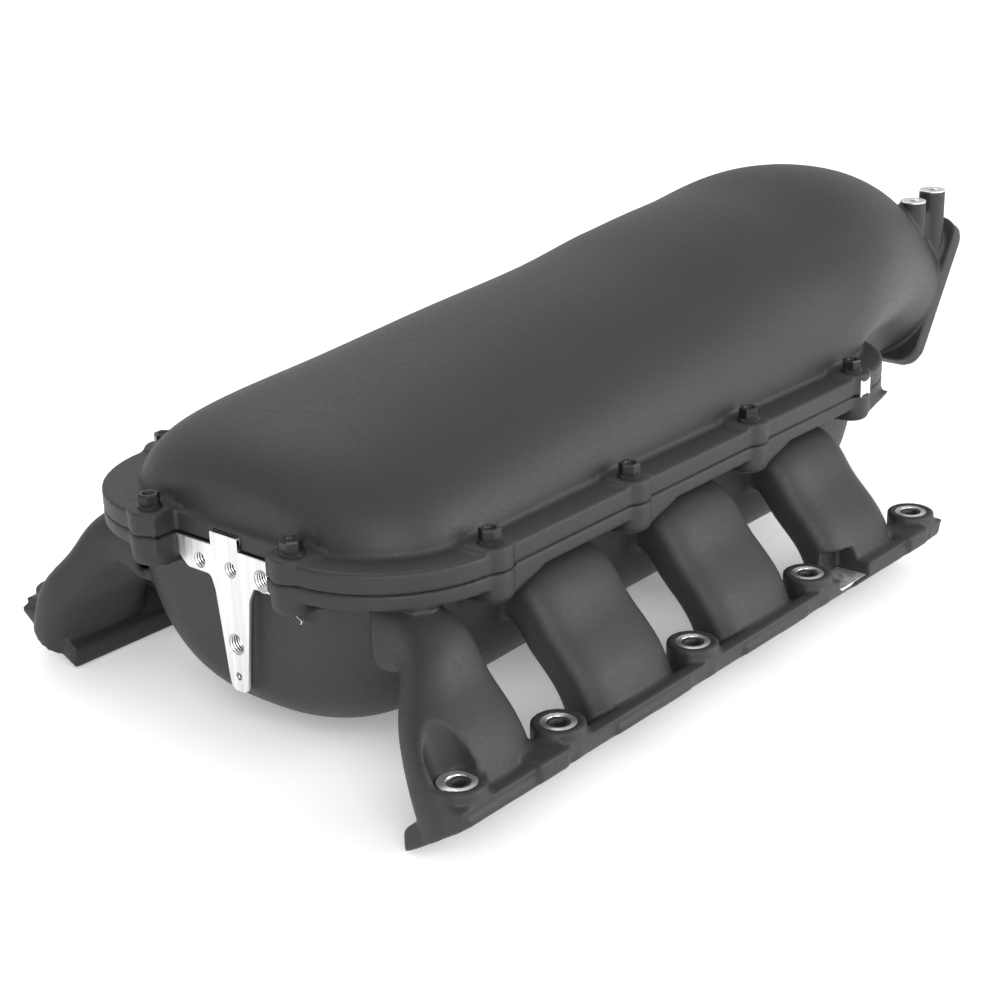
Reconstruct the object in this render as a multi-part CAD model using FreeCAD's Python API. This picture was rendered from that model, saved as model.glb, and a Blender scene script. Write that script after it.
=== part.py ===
"""Two-piece cast intake manifold for a V8: a domed plenum cover bolted on a tub with eight runners.

Millimetres. +X points to the throttle (front), +Z up, +Y to the left bank. While modelling, z = 0 is
the seat of the cover bolts, y = 0 the mid-plane and x = 0 the rearmost side bolt; the finished parts
are then moved so that the origin is at the bottom centre of the whole object.
"""
import FreeCAD, Part
import math
import os

Vec = FreeCAD.Vector

# ---- engine ----------------------------------------------------------------------------------
BORE_PITCH = 111.76          # between neighbouring cylinders of a bank
BANK_OFFSET = 24.1           # the left bank sits this much further forward
FACE_ANGLE = 34.0            # head faces, from horizontal
FACE_Z = -96.5               # height of the head face's outer edge

# ---- cover joint -----------------------------------------------------------------------------
BOLT_Y = 118.7               # side cover bolts, from the mid-plane
FACE_Y = BOLT_Y + 57.3       # outer edge of the head face, from the mid-plane
END_BOLT_Y = 51.9            # rear and front cover bolts, from the mid-plane
REAR_BOLT_X = -67.2
FRONT_BOLT_X = 3 * BORE_PITCH - REAR_BOLT_X
RIM_MARGIN = 7.8             # rim edge outside the line of bolts
RIM_CORNER_R = 70.0
COVER_RIM_T = 13.0           # cover rim under a bolt's seat
RIM_DROP = 2.0               # the rim between bosses is this much lower than the seats
BASE_RIM_T = 8.0
BOSS_R = 11.5
BOSS_DEPTH = 17.0            # base boss below the joint
FACET_D = 1.4                # flat on the right front boss
FACET_TOP = -3.0
GUSSET_L = 24.0
GUSSET_T = 9.0
LUG_AHEAD = 9.7              # harness lug, ahead of the last side bolt
LUG_L = 36.0
LUG_IN = 12.5                # rim edge to the lug's outer side
LUG_W = 26.0
LUG_DROP = 15.0              # below the joint
LUG_R = 6.0
SEAL_MARGIN = 15.6           # rim edge to the seal's outer side
SEAL_W = 4.0
SEAL_H = 3.2
SEAL_GAP = 0.15

# ---- cover bolt, M6 flange head ---------------------------------------------------------------
BOLT_R = 3.0
BOLT_HOLE_R = BOLT_R + 0.4
BOLT_FLANGE_R = 2.2 * BOLT_R
BOLT_FLANGE_T = 1.6
BOLT_HEX_AF = 10.0
BOLT_HEX_H = 5.6
BOLT_LENGTH = 26.0
SOCKET_R = BOLT_FLANGE_R + 5.9    # room for a socket behind each bolt
SOCKET_H = 60.0

# ---- plenum ----------------------------------------------------------------------------------
WALL = 4.5
DOME_MARGIN = 18.5           # rim edge to the foot of the dome and to the tub's wall
CREST_REAR = 47.0            # height of the crest at the rearmost side bolt
CREST_RISE = 0.110           # rise of the crest per millimetre forward
CREST_SAG = (0.0, -0.5, -3.0, 0.0)    # at the sections between the ends
NOSE_R = 56.0                # rear rounding of the dome, lengthwise
NOSE_SIDE_R = 51.5           # rear rounding of the dome, sideways
DOME_SQUARE = 2.1            # 2 is an ellipse, more is squarer
DOME_FOOT = 6.0              # the dome's sections are widest this far above the joint
DOME_BELOW = 12.0            # and are drawn this far below that, then cut off at the joint
DOME_START = 0.42            # height of the rearmost section, as a part of the crest's
FOOT_SQUARE = 5.0
DOME_MIDDLE = (0.278, 0.464, 0.65, 0.815)    # sections between the ends, as parts of the rim's length
TUB_MIDDLE = (0.32, 0.485, 0.65)
TUB_DEPTH = 101.0            # below the joint
TUB_START = 0.72             # depth of the end sections, as a part of that
TUB_ABOVE = 25.0             # drawn this far above the joint, then cut off
TUB_SQUARE = 2.5
TUB_NOSE_R = 48.0

# ---- throttle flange ---------------------------------------------------------------------------
THROTTLE_REACH = 159.5       # rim's front edge to the centre of the throttle face
THROTTLE_Z = -16.5
THROTTLE_TILT = 33.0         # the face looks forward and this much down
THROTTLE_BORE_R = 46.0
THROTTLE_PCD = 2 * THROTTLE_BORE_R + 20
THROTTLE_TAP_R = 2.5
THROTTLE_PLATE = 2 * THROTTLE_BORE_R + 18
THROTTLE_PLATE_R = 15.0
THROTTLE_PLATE_T = 12.0
# sections from the rim's front edge to the throttle flange: part of the way, height over the throttle
# centre, tilt in degrees, extra half width over the bore, rise, drop, squareness above and below
NECK = ((-0.05, 31.5, 4, 52, 80, 26, 2.2, 2.6), (0.289, 32.5, 13, 38, 74, 42, 2.1, 2.2),
        (0.597, 25.5, 23, 23, 63, 50, 2.0, 2.0), (0.79, 13.5, 31, 14, 56, 54, 2.0, 2.0))
NECK_WALL = 7.5              # round the throttle bore
NECK_CORE = 1.0              # the cast passage is this much wider than the machined bore
RING_R = THROTTLE_BORE_R + 3.7                # centre of the throttle seal's groove
RING_W = 3.2
RING_D = 2.6
RING_PROUD = 0.5

# ---- bracket posts beside the neck -------------------------------------------------------------
POST_AHEAD = (-22.5, 4.5)    # from the centre of the throttle face
POST_RISE = (71.5, 74.5)
POST_Y = -40.0
POST_R = 9.0
POST_LENGTH = 62.0
POST_TAP_R = 3.0
POST_TAP_DEPTH = 18.0
POST_RIB_W = 6.0             # web between the two posts
POST_RIB_DROP = 12.0         # below the first post's top

# ---- runners -----------------------------------------------------------------------------------
RUNNER_X0 = -58.0            # centre of the right bank's rear runner
RUNNER_W = 70.0              # outside, along the engine
RUNNER_WALL = 4.0
PORT_Y = FACE_Y - 15.5       # centre of a port on the head face
PORT_H = 26.0                # passage at the head face, up the slope
PORT_SQUARE = 2.8
CORE_TRIM = 31.0             # the passages are drawn forward by this to clear the end bolts of the heads
CORE_PART = (0.0, 0.0, 0.5, 0.9, 1.0, 1.0, 1.0)    # of that, at each section
PORT_BEYOND = 14.0           # the runner is drawn this far past the head face, then cut to it
# runner sections: part of the way from the tub's wall to the port, below the joint, lean down in
# degrees, half height, rear trim
RUNNER_LINE = ((-0.42, 27, 0, 20, 1.0), (-0.115, 27, 12, 19, 1.0), (0.152, 29, 36, 17, 0.85),
               (0.4, 44, 49, 16, 0.45), (0.81, 68, 54, 16, 0.0))
RUNNER_TUCK = 0.3            # a rear runner starts this far in from the rim's rear edge, in corner radii

# ---- head flanges ------------------------------------------------------------------------------
HEAD_SEAT_Z = FACE_Z + 16.9
HEAD_BOLT_Y = FACE_Y - 12.3
HEAD_HOLE_R = 3.5
HEAD_BOSS_R = 13.8
HEAD_SPOT_R = 10.6
HEAD_SPOT_D = 1.0
HEAD_BOLT_FIRST = {"right": -20.5, "left": -14.2}    # from the bank's rear runner
HEAD_BOLT_SECOND = 52.0
HEAD_BOLT_LAST = 4.7         # the last bolt is this much more than a bore pitch from the one before
FLANGE_T = 11.0
FLANGE_INNER_Y = FACE_Y - 37
BLOCK_BACK = {1: 34.0, 4: 30.0}    # cast blocks on the outer wall, behind these bolts of a head
BLOCK_L = 22.0
DRILL_L = 80.0               # long enough to go through anything here
FLANGE_LIP_Z = -86.0         # top of the outer wall
FLANGE_LIP_T = 7.0
PORT_SEAL_W = 3.0
PORT_SEAL_H = 3.4
PORT_SEAL_D = 3.0
PORT_SEAL_OFF = 2.4          # port edge to its seal
PORT_CORNER_R = 9.0
END_FLUTE_R = 11.5           # hollow in the end runner over the first bolt of a head
END_FLUTE_L = 75.0
END_FLUTE_WAY = (-0.10, 0.30, 0.95)    # rearwards, inwards, upwards
RELIEF_AHEAD = 14.5          # flat cut down to bare metal, ahead of the right bank's fourth bolt
RELIEF_L = 30.0
RELIEF_H = 14.0
RELIEF_Z = -93.0

# ---- sensor pad at the back of the tub -----------------------------------------------------------
PAD_PROUD = 5.5              # machined face behind the tub's wall
PAD_T = 16.0
PAD_RECESS_Y = END_BOLT_Y - BOSS_R    # the rim is cut back to the pad between the rear bosses
PAD_ARM_R = 7.0              # rounded lower corner of the left arm
PAD_TAIL_Y = 50.0            # point where the right arm's lower edge runs out
PAD_TAIL_DROP = 11.0
RIM_CUT_IN = 1.5             # the cover's rim is cut back behind the pad between the rear bosses
TAB_Y0 = -6.5                # tab on the pad that stands up into a notch of the cover's rim
TAB_Y1 = 13.5
TAB_RISE = 7.0
TAB_T = 3.8
TAB_GAP = 0.3
PAD_ARM_H = 17.0
PAD_ARM_Y = 40.0
PAD_STEM_W = 27.0
PAD_TIP_Z = -92.0
PAD_TIP_R = 6.5
PAD_PORT_Y = 22.9
PAD_PORT_Z = -24.0
PAD_PORT_R = 4.2
PAD_BIG_R = 5.6
PAD_LOW_Z = -65.0
PAD_SMALL_Z = -83.0
PAD_SMALL_R = 2.1
PAD_PORT_D = 40.0            # the ports go through into the plenum, the small hole does not
PAD_SMALL_D = 9.0

DOWEL_R = 3.0
DOWEL_L = 14.0
DOWEL_IN = 11.0              # rim edge to a dowel's centre

# ---- worked out --------------------------------------------------------------------------------
JOINT_Z = -COVER_RIM_T
PAD_TOP = JOINT_Z
RIM_REAR = REAR_BOLT_X - RIM_MARGIN
RIM_FRONT = FRONT_BOLT_X + RIM_MARGIN
RIM_Y = BOLT_Y + RIM_MARGIN
RIM_LENGTH = RIM_FRONT - RIM_REAR
WALL_Y = RIM_Y - DOME_MARGIN
WALL_REAR = RIM_REAR + DOME_MARGIN
WALL_FRONT = RIM_FRONT - DOME_MARGIN
PAD_X = WALL_REAR - PAD_PROUD
THROTTLE_X = RIM_FRONT + THROTTLE_REACH
POST_X = [THROTTLE_X + ahead for ahead in POST_AHEAD]
POST_TOP = [THROTTLE_Z + rise for rise in POST_RISE]
SLOPE = math.tan(math.radians(FACE_ANGLE))
BANKS = {"right": (-1, 0.0), "left": (1, BANK_OFFSET)}


def face_z(y):
    """Height of the head face's plane at a distance y from the mid-plane."""
    return FACE_Z - SLOPE * (FACE_Y - y)


def prism(points, direction):
    wire = Part.makePolygon(points + points[:1])
    return Part.Face(wire).extrude(direction)


def box(x0, x1, y0, y1, z0, z1):
    return Part.makeBox(x1 - x0, y1 - y0, z1 - z0, Vec(x0, y0, z0))


def fuse(shapes):
    return shapes[0].multiFuse(shapes[1:]).removeSplitter()


def mirror_y(shape):
    return shape.mirror(Vec(0, 0, 0), Vec(0, 1, 0))


def rounded_plate(inset, z0, z1):
    """The rim's outline, inset from its edge, between two heights."""
    x0 = RIM_REAR + inset
    y0 = RIM_Y - inset
    plate = box(x0, RIM_FRONT - inset, -y0, y0, z0, z1)
    upright = [e for e in plate.Edges if abs(e.tangentAt(e.FirstParameter).z) > 0.9]
    return plate.makeFillet(RIM_CORNER_R - inset, upright)


def rounded_ring(inset, width, z0, z1):
    return rounded_plate(inset, z0, z1).cut(rounded_plate(inset + width, z0, z1))


def loop(centre, side, up, half_width, rise, drop, square_up, square_down, count=40):
    """Closed smooth curve: a squared ellipse with its own upper and lower heights."""
    points = []
    for i in range(count):
        angle = 2 * math.pi * i / count - math.pi / 2
        c = math.cos(angle)
        s = math.sin(angle)
        square = square_up if s > 0 else square_down
        across = half_width * math.copysign(abs(c) ** (2 / square), c)
        height = (rise if s > 0 else drop) * math.copysign(abs(s) ** (2 / square), s)
        points.append(centre + side * across + up * height)
    curve = Part.BSplineCurve()
    curve.interpolate(Points=points, PeriodicFlag=True)
    return Part.Wire(curve.toShape())


def loft(loops):
    return Part.makeLoft(loops, True, False)


# ---- plenum cover ------------------------------------------------------------------------------
def crest(x):
    return CREST_REAR + CREST_RISE * x


def neck_frame(x, z, tilt):
    """Section frame of the neck: its centre and its up direction for a tilt in degrees."""
    t = math.radians(tilt)
    return Vec(x, 0, z), Vec(math.sin(t), 0, math.cos(t))


def dome_loops(inset):
    """Sections of the dome from its rounded rear end to the throttle flange."""
    side = Vec(0, 1, 0)
    base_z = JOINT_Z + DOME_FOOT
    loops = []
    for angle in (0, 22, 44, 66, 90):
        lean = math.radians(angle)
        x = WALL_REAR + inset + (NOSE_R - inset) * (1 - math.cos(lean))
        half_width = WALL_Y - inset - (NOSE_SIDE_R - inset) * (1 - math.sin(lean))
        top = (crest(x) - inset - base_z) * (DOME_START + (1 - DOME_START) * math.sin(lean))
        loops.append(loop(Vec(x, 0, base_z), side, Vec(0, 0, 1), half_width, top, DOME_BELOW,
                          DOME_SQUARE, FOOT_SQUARE))
    for part, sag in zip(DOME_MIDDLE, CREST_SAG):
        x = RIM_REAR + part * RIM_LENGTH
        loops.append(loop(Vec(x, 0, base_z), side, Vec(0, 0, 1), WALL_Y - inset,
                          crest(x) + sag - inset - base_z, DOME_BELOW, DOME_SQUARE, FOOT_SQUARE))
    for part, above, tilt, wider, rise, drop, square_up, square_down in NECK:
        x = RIM_FRONT + part * THROTTLE_REACH
        centre, up = neck_frame(x, THROTTLE_Z + above, tilt)
        half_width = THROTTLE_BORE_R + wider
        loops.append(loop(centre, side, up, half_width - inset, rise - inset, drop - inset,
                          square_up, square_down))
    radius = THROTTLE_BORE_R + (NECK_CORE if inset else NECK_WALL)
    depth = THROTTLE_PLATE_T if inset else 1.0
    loops.append(loop(throttle_point(0, 0, -depth), side, throttle_up(), radius, radius, radius, 2, 2))
    return loops


def throttle_up():
    t = math.radians(THROTTLE_TILT)
    return Vec(math.sin(t), 0, math.cos(t))


def throttle_out():
    t = math.radians(THROTTLE_TILT)
    return Vec(math.cos(t), 0, -math.sin(t))


def throttle_point(across, up, out):
    """A point given in the throttle face's own directions, from the face's centre."""
    centre = Vec(THROTTLE_X, 0, THROTTLE_Z)
    return centre + Vec(0, 1, 0) * across + throttle_up() * up + throttle_out() * out


def cover_bolt_places():
    """Name and place of each cover bolt, going round the rim."""
    places = {}
    for side, y in (("right", -BOLT_Y), ("left", BOLT_Y)):
        for i in range(4):
            places[f"{side}_{i + 1}"] = Vec(i * BORE_PITCH, y, 0)
    for end, x in (("rear", REAR_BOLT_X), ("front", FRONT_BOLT_X)):
        places[f"{end}_1"] = Vec(x, -END_BOLT_Y, 0)
        places[f"{end}_2"] = Vec(x, END_BOLT_Y, 0)
    return places


def outward(place):
    """Unit vector out of the rim at a cover bolt."""
    if abs(place.y) > END_BOLT_Y + 1:
        return Vec(0, math.copysign(1, place.y), 0)
    return Vec(math.copysign(1, place.x), 0, 0)


def gusset(place):
    """Web under the base rim, running forward from a side boss."""
    side = math.copysign(1, place.y)
    top = JOINT_Z - BASE_RIM_T + 1
    points = [(place.x, JOINT_Z - BOSS_DEPTH), (place.x + BOSS_R - 1, JOINT_Z - BOSS_DEPTH),
              (place.x + BOSS_R + GUSSET_L, top), (place.x, top)]
    return prism([Vec(x, side * RIM_Y, z) for x, z in points], Vec(0, -side * GUSSET_T, 0))


def lug():
    """Cast lug ahead of the right front boss, for a harness bracket."""
    rear = 3 * BORE_PITCH + LUG_AHEAD
    outer = LUG_IN - RIM_Y
    block = box(rear, rear + LUG_L, outer, outer + LUG_W, JOINT_Z - LUG_DROP, JOINT_Z - 1)
    upright = [e for e in block.Edges if abs(e.tangentAt(e.FirstParameter).z) > 0.9]
    return block.makeFillet(LUG_R, upright)


def boss(place, z0, z1):
    """Rounded column at a cover bolt, run inwards so that it meets the wall."""
    out = outward(place)
    column = Part.makeCylinder(BOSS_R, z1 - z0, Vec(place.x, place.y, z0))
    inner = place - out * BOSS_R * 1.1
    across = Vec(-out.y, out.x, 0) * BOSS_R
    corners = [place + across, place - across, inner - across, inner + across]
    web = prism([Vec(p.x, p.y, z0) for p in corners], Vec(0, 0, z1 - z0))
    return column.fuse(web)


def throttle_plate():
    half = THROTTLE_PLATE / 2
    corners = [throttle_point(a * half, b * half, 0) for a, b in ((-1, -1), (1, -1), (1, 1), (-1, 1))]
    plate = prism(corners, throttle_out() * -THROTTLE_PLATE_T)
    edges = [e for e in plate.Edges if abs(e.tangentAt(e.FirstParameter).dot(throttle_out())) > 0.9]
    return plate.makeFillet(THROTTLE_PLATE_R, edges)


def throttle_holes():
    """Centres of the four throttle bolts on the face."""
    reach = THROTTLE_PCD / 2 * math.sin(math.radians(45))
    return [throttle_point(a * reach, b * reach, 0) for a in (-1, 1) for b in (-1, 1)]


def posts():
    columns = []
    for x, top in zip(POST_X, POST_TOP):
        columns.append(Part.makeCylinder(POST_R, POST_LENGTH, Vec(x, POST_Y, top - POST_LENGTH)))
    rib = box(POST_X[0], POST_X[1], POST_Y - POST_RIB_W / 2, POST_Y + POST_RIB_W / 2,
              POST_TOP[0] - POST_LENGTH, POST_TOP[0] - POST_RIB_DROP)
    columns.append(rib)
    return columns


def make_plenum_cover():
    places = cover_bolt_places()
    below = box(RIM_REAR - 50, RIM_FRONT, -RIM_Y - 50, RIM_Y + 50, JOINT_Z - 60, JOINT_Z)
    dome = loft(dome_loops(0)).cut(below)
    added = [rounded_plate(0, JOINT_Z, -RIM_DROP), throttle_plate()]
    added += [boss(place, JOINT_Z, 0) for place in places.values()]
    added += posts()
    cover = dome.multiFuse(added)
    rim_cut = box(RIM_REAR - 30, PAD_X + RIM_CUT_IN, -PAD_RECESS_Y, PAD_RECESS_Y, JOINT_Z - 1, 1)
    notch = box(RIM_REAR - 30, PAD_X + TAB_T + TAB_GAP, TAB_Y0 - TAB_GAP, TAB_Y1 + TAB_GAP,
                JOINT_Z - 1, JOINT_Z + TAB_RISE + TAB_GAP)
    reach = THROTTLE_PLATE * 0.75
    corners = [throttle_point(a * reach, b * reach, 0) for a, b in ((-1, -1), (1, -1), (1, 1), (-1, 1))]
    ahead = prism(corners, throttle_out() * POST_R * 4)
    cover = cover.cut([rim_cut, notch, ahead])
    cover = cover.cut(loft(dome_loops(WALL)))
    bore_depth = THROTTLE_PLATE_T + 3
    small = [Part.makeCylinder(THROTTLE_BORE_R, bore_depth, throttle_point(0, 0, 1), throttle_out() * -1)]
    for place in places.values():
        foot = Vec(place.x, place.y, JOINT_Z - 1)
        small.append(Part.makeCylinder(BOLT_HOLE_R, COVER_RIM_T + 2, foot))
        small.append(Part.makeCylinder(SOCKET_R, SOCKET_H, Vec(place.x, place.y, 0)))
    for centre in throttle_holes():
        depth = THROTTLE_PLATE_T
        small.append(Part.makeCylinder(THROTTLE_TAP_R, depth, centre + throttle_out(), throttle_out() * -1))
    small.append(ring_solid(RING_W / 2, RING_D, 1))
    front = places["right_4"]
    small.append(box(front.x - BOSS_R, front.x + BOSS_R, front.y - BOSS_R - 5, front.y - BOSS_R + FACET_D,
                     JOINT_Z - 1, FACET_TOP))
    for x, top in zip(POST_X, POST_TOP):
        small.append(Part.makeCylinder(POST_TAP_R, POST_TAP_DEPTH, Vec(x, POST_Y, top), Vec(0, 0, -1)))
    for place in dowel_places():
        small.append(Part.makeCylinder(DOWEL_R, DOWEL_L / 2 + 0.5, place))
    return cover.cut(small)


def ring_solid(half_width, depth, proud):
    """Ring round the throttle bore, let into the face and standing proud of it."""
    start = throttle_point(0, 0, proud)
    out = throttle_out() * -1
    outer = Part.makeCylinder(RING_R + half_width, depth + proud, start, out)
    return outer.cut(Part.makeCylinder(RING_R - half_width, depth + proud, start, out))


# ---- lower base --------------------------------------------------------------------------------
def tub_loops(inset):
    side = Vec(0, 1, 0)
    up = Vec(0, 0, 1)
    steps = (0, 25, 50, 75, 90)
    loops = []
    for start, sign, angles in ((WALL_REAR, 1, steps), (WALL_FRONT, -1, steps[::-1])):
        for angle in angles:
            lean = math.radians(angle)
            x = start + sign * (inset + (TUB_NOSE_R - inset) * (1 - math.cos(lean)))
            half_width = WALL_Y - inset - (NOSE_SIDE_R - inset) * (1 - math.sin(lean))
            drop = (TUB_DEPTH - inset) * (TUB_START + (1 - TUB_START) * math.sin(lean))
            loops.append(loop(Vec(x, 0, JOINT_Z), side, up, half_width, TUB_ABOVE, drop,
                              FOOT_SQUARE, TUB_SQUARE))
        if sign == 1:
            for part in TUB_MIDDLE:
                loops.append(loop(Vec(RIM_REAR + part * RIM_LENGTH, 0, JOINT_Z), side, up, WALL_Y - inset,
                                  TUB_ABOVE, TUB_DEPTH - inset, FOOT_SQUARE, TUB_SQUARE))
    return loops


def runner_stations(sign):
    """Each runner section from the tub to the head: centre, across direction, half height, rear trim.

    The rear trim says how much of the way the rear side of an end runner is drawn in under the rim's
    rounded corner.
    """
    result = []
    for part, below, down, half, trim in RUNNER_LINE:
        lean = math.radians(down)
        y = WALL_Y + part * (PORT_Y - WALL_Y)
        z = JOINT_Z - below
        result.append((Vec(0, sign * y, z), Vec(0, sign * math.sin(lean), math.cos(lean)), half, trim))
    down = math.radians(90 - FACE_ANGLE)
    across = Vec(0, sign * math.sin(down), math.cos(down))
    along = Vec(0, sign * math.cos(down), -math.sin(down))
    centre = Vec(0, sign * PORT_Y, face_z(PORT_Y))
    half = PORT_H / 2 + RUNNER_WALL
    result.append((centre, across, half, 0.0))
    result.append((centre + along * PORT_BEYOND, across, half, 0.0))
    return result


def runner(bank, x, inset):
    """A runner's outside, or its passage when inset by the wall."""
    rear_trim = max(0.0, RIM_REAR + RIM_CORNER_R * RUNNER_TUCK - (x - RUNNER_W / 2))
    core = CORE_TRIM if inset else 0.0
    loops = []
    for (centre, across, half, trim), part in zip(runner_stations(BANKS[bank][0]), CORE_PART):
        drawn = max(rear_trim * trim, core * part)
        half_width = RUNNER_W / 2 - inset - drawn / 2
        middle = centre + Vec(x + drawn / 2, 0, 0)
        loops.append(loop(middle, Vec(1, 0, 0), across, half_width, half - inset, half - inset,
                          PORT_SQUARE, PORT_SQUARE, 32))
    return loft(loops)


def runner_places(bank):
    return [RUNNER_X0 + BANKS[bank][1] + i * BORE_PITCH for i in range(4)]


def head_bolt_places(bank):
    sign, offset = BANKS[bank]
    middle = [HEAD_BOLT_SECOND + i * BORE_PITCH for i in range(3)]
    along = [HEAD_BOLT_FIRST[bank]] + middle + [middle[-1] + BORE_PITCH + HEAD_BOLT_LAST]
    return [Vec(RUNNER_X0 + offset + x, sign * HEAD_BOLT_Y, HEAD_SEAT_Z) for x in along]


def flange_ends(bank):
    bolts = head_bolt_places(bank)
    return bolts[0].x - HEAD_BOSS_R, bolts[-1].x + HEAD_BOSS_R


def head_flange(bank):
    """Sloping plate with an upright outer wall, bolt bosses and cast blocks, on the right bank's side."""
    rear, front = flange_ends(bank)
    t = FLANGE_T / math.cos(math.radians(FACE_ANGLE))
    outline = [(FLANGE_INNER_Y, face_z(FLANGE_INNER_Y)), (FACE_Y, FACE_Z), (FACE_Y + 2, FLANGE_LIP_Z),
               (FACE_Y + 2 - FLANGE_LIP_T, FLANGE_LIP_Z), (FACE_Y - 14, face_z(FACE_Y - 14) + t),
               (FLANGE_INNER_Y, face_z(FLANGE_INNER_Y) + t)]
    plate = prism([Vec(rear, -y, z) for y, z in outline], Vec(front - rear, 0, 0))
    shapes = [plate]
    for place in head_bolt_places(bank):
        foot = Vec(place.x, -HEAD_BOLT_Y, HEAD_SEAT_Z - DRILL_L)
        shapes.append(Part.makeCylinder(HEAD_BOSS_R, DRILL_L, foot))
    for index, back in BLOCK_BACK.items():
        x = head_bolt_places(bank)[index].x - back
        shapes.append(box(x, x + BLOCK_L, -FACE_Y - 5, -FACE_Y + 16, HEAD_SEAT_Z - 40, HEAD_SEAT_Z - 4))
    for x in runner_places(bank):
        reach = RUNNER_W / 2 - 4
        shapes.append(box(x - reach, x + reach, -FACE_Y - 3, -FACE_Y + 12, FACE_Z - 30, FLANGE_LIP_Z - 5))
    return shapes


def under_head_face(bank):
    """Everything below the plane of a bank's head face."""
    sign = BANKS[bank][0]
    rear, front = flange_ends(bank)
    high = FACE_Y + 60
    low = FLANGE_INNER_Y - 40
    points = [(high, face_z(high)), (low, face_z(low)), (low, face_z(low) - 60), (high, face_z(low) - 60)]
    corners = [Vec(rear - 20, sign * y, z) for y, z in points]
    return prism(corners, Vec(front - rear + 40, 0, 0))


def make_bank(bank):
    """A bank's head flange and its four runners, cut to the head face, still solid."""
    under = under_head_face(bank)
    shapes = head_flange(bank)
    if BANKS[bank][0] > 0:
        shapes = [mirror_y(shape) for shape in shapes]
    flange = shapes[0].multiFuse(shapes[1:]).cut(under)
    return flange.multiFuse([runner(bank, x, 0).cut(under) for x in runner_places(bank)])


def head_side_cuts(bank):
    """Passages, seal grooves, bolt holes and spot faces of one bank."""
    sign = BANKS[bank][0]
    passages = [runner(bank, x, RUNNER_WALL) for x in runner_places(bank)]
    small = [port_ring(sign, x, SEAL_GAP, PORT_SEAL_D, 2.0) for x in runner_places(bank)]
    for place in head_bolt_places(bank):
        small.append(Part.makeCylinder(HEAD_HOLE_R, DRILL_L, place + Vec(0, 0, 5), Vec(0, 0, -1)))
        small.append(Part.makeCylinder(HEAD_SPOT_R, 30, place - Vec(0, 0, HEAD_SPOT_D)))
    back, inwards, upwards = END_FLUTE_WAY
    way = Vec(back, -sign * inwards, upwards)
    small.append(Part.makeCylinder(END_FLUTE_R, END_FLUTE_L, head_bolt_places(bank)[0], way))
    if bank == "right":
        rear = head_bolt_places(bank)[3].x + RELIEF_AHEAD
        small.append(box(rear, rear + RELIEF_L, -FACE_Y - 10, -FACE_Y + 20, RELIEF_Z, RELIEF_Z + RELIEF_H))
    return passages, small


def make_lower_base():
    places = cover_bolt_places()
    above = box(RIM_REAR, RIM_FRONT, -RIM_Y, RIM_Y, JOINT_Z, JOINT_Z + 2 * TUB_ABOVE)
    tub = loft(tub_loops(0)).cut(above)
    rim = [rounded_plate(0, JOINT_Z - BASE_RIM_T, JOINT_Z), sensor_pad()]
    rim += [boss(place, JOINT_Z - BOSS_DEPTH, JOINT_Z) for place in places.values()]
    rim += [gusset(place) for place in places.values() if abs(place.y) > END_BOLT_Y + 1]
    rim.append(lug())
    base = tub.multiFuse(rim)
    recess = box(RIM_REAR - 30, PAD_X, -PAD_RECESS_Y, PAD_RECESS_Y, PAD_TIP_Z - 30, JOINT_Z)
    base = base.cut(recess)
    small = []
    passages = []
    for bank in BANKS:
        base = base.fuse(make_bank(bank))
        bank_passages, bank_small = head_side_cuts(bank)
        passages += bank_passages
        small += bank_small
    base = base.cut(loft(tub_loops(WALL)))
    base = base.cut(passages)
    for place in places.values():
        small.append(Part.makeCylinder(BOLT_R, BOSS_DEPTH - 2, Vec(place.x, place.y, JOINT_Z), Vec(0, 0, -1)))
    for place in dowel_places():
        small.append(Part.makeCylinder(DOWEL_R, DOWEL_L / 2 + 0.5, place, Vec(0, 0, -1)))
    small.append(rounded_ring(SEAL_MARGIN - SEAL_GAP, SEAL_W + 2 * SEAL_GAP, JOINT_Z - SEAL_H, JOINT_Z + 1))
    small += pad_ports()
    return base.cut(small)


def sensor_pad():
    """T-shaped machined pad on the back of the tub."""
    low = PAD_TOP - PAD_ARM_H
    outline = ((-PAD_ARM_Y, PAD_TOP), (PAD_ARM_Y, PAD_TOP), (PAD_ARM_Y, low + PAD_ARM_R),
               (PAD_ARM_Y - PAD_ARM_R, low), (-PAD_ARM_Y + PAD_ARM_R, low),
               (-PAD_TAIL_Y, low - PAD_TAIL_DROP), (-PAD_TAIL_Y, low - PAD_TAIL_DROP + 5),
               (-PAD_ARM_Y, low + 3))
    arm = prism([Vec(PAD_X, y, z) for y, z in outline], Vec(PAD_T, 0, 0))
    tab = box(PAD_X, PAD_X + TAB_T, TAB_Y0, TAB_Y1, PAD_TOP - 2, PAD_TOP + TAB_RISE)
    stem = prism([Vec(PAD_X, y, z) for y, z in ((-PAD_STEM_W / 2, PAD_TOP), (PAD_STEM_W / 2, PAD_TOP),
                                              (PAD_TIP_R, PAD_TIP_Z + PAD_TIP_R),
                                              (-PAD_TIP_R, PAD_TIP_Z + PAD_TIP_R))], Vec(PAD_T, 0, 0))
    tip = Part.makeCylinder(PAD_TIP_R, PAD_T, Vec(PAD_X, 0, PAD_TIP_Z + PAD_TIP_R), Vec(1, 0, 0))
    return arm.fuse([stem, tip, tab])


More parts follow.
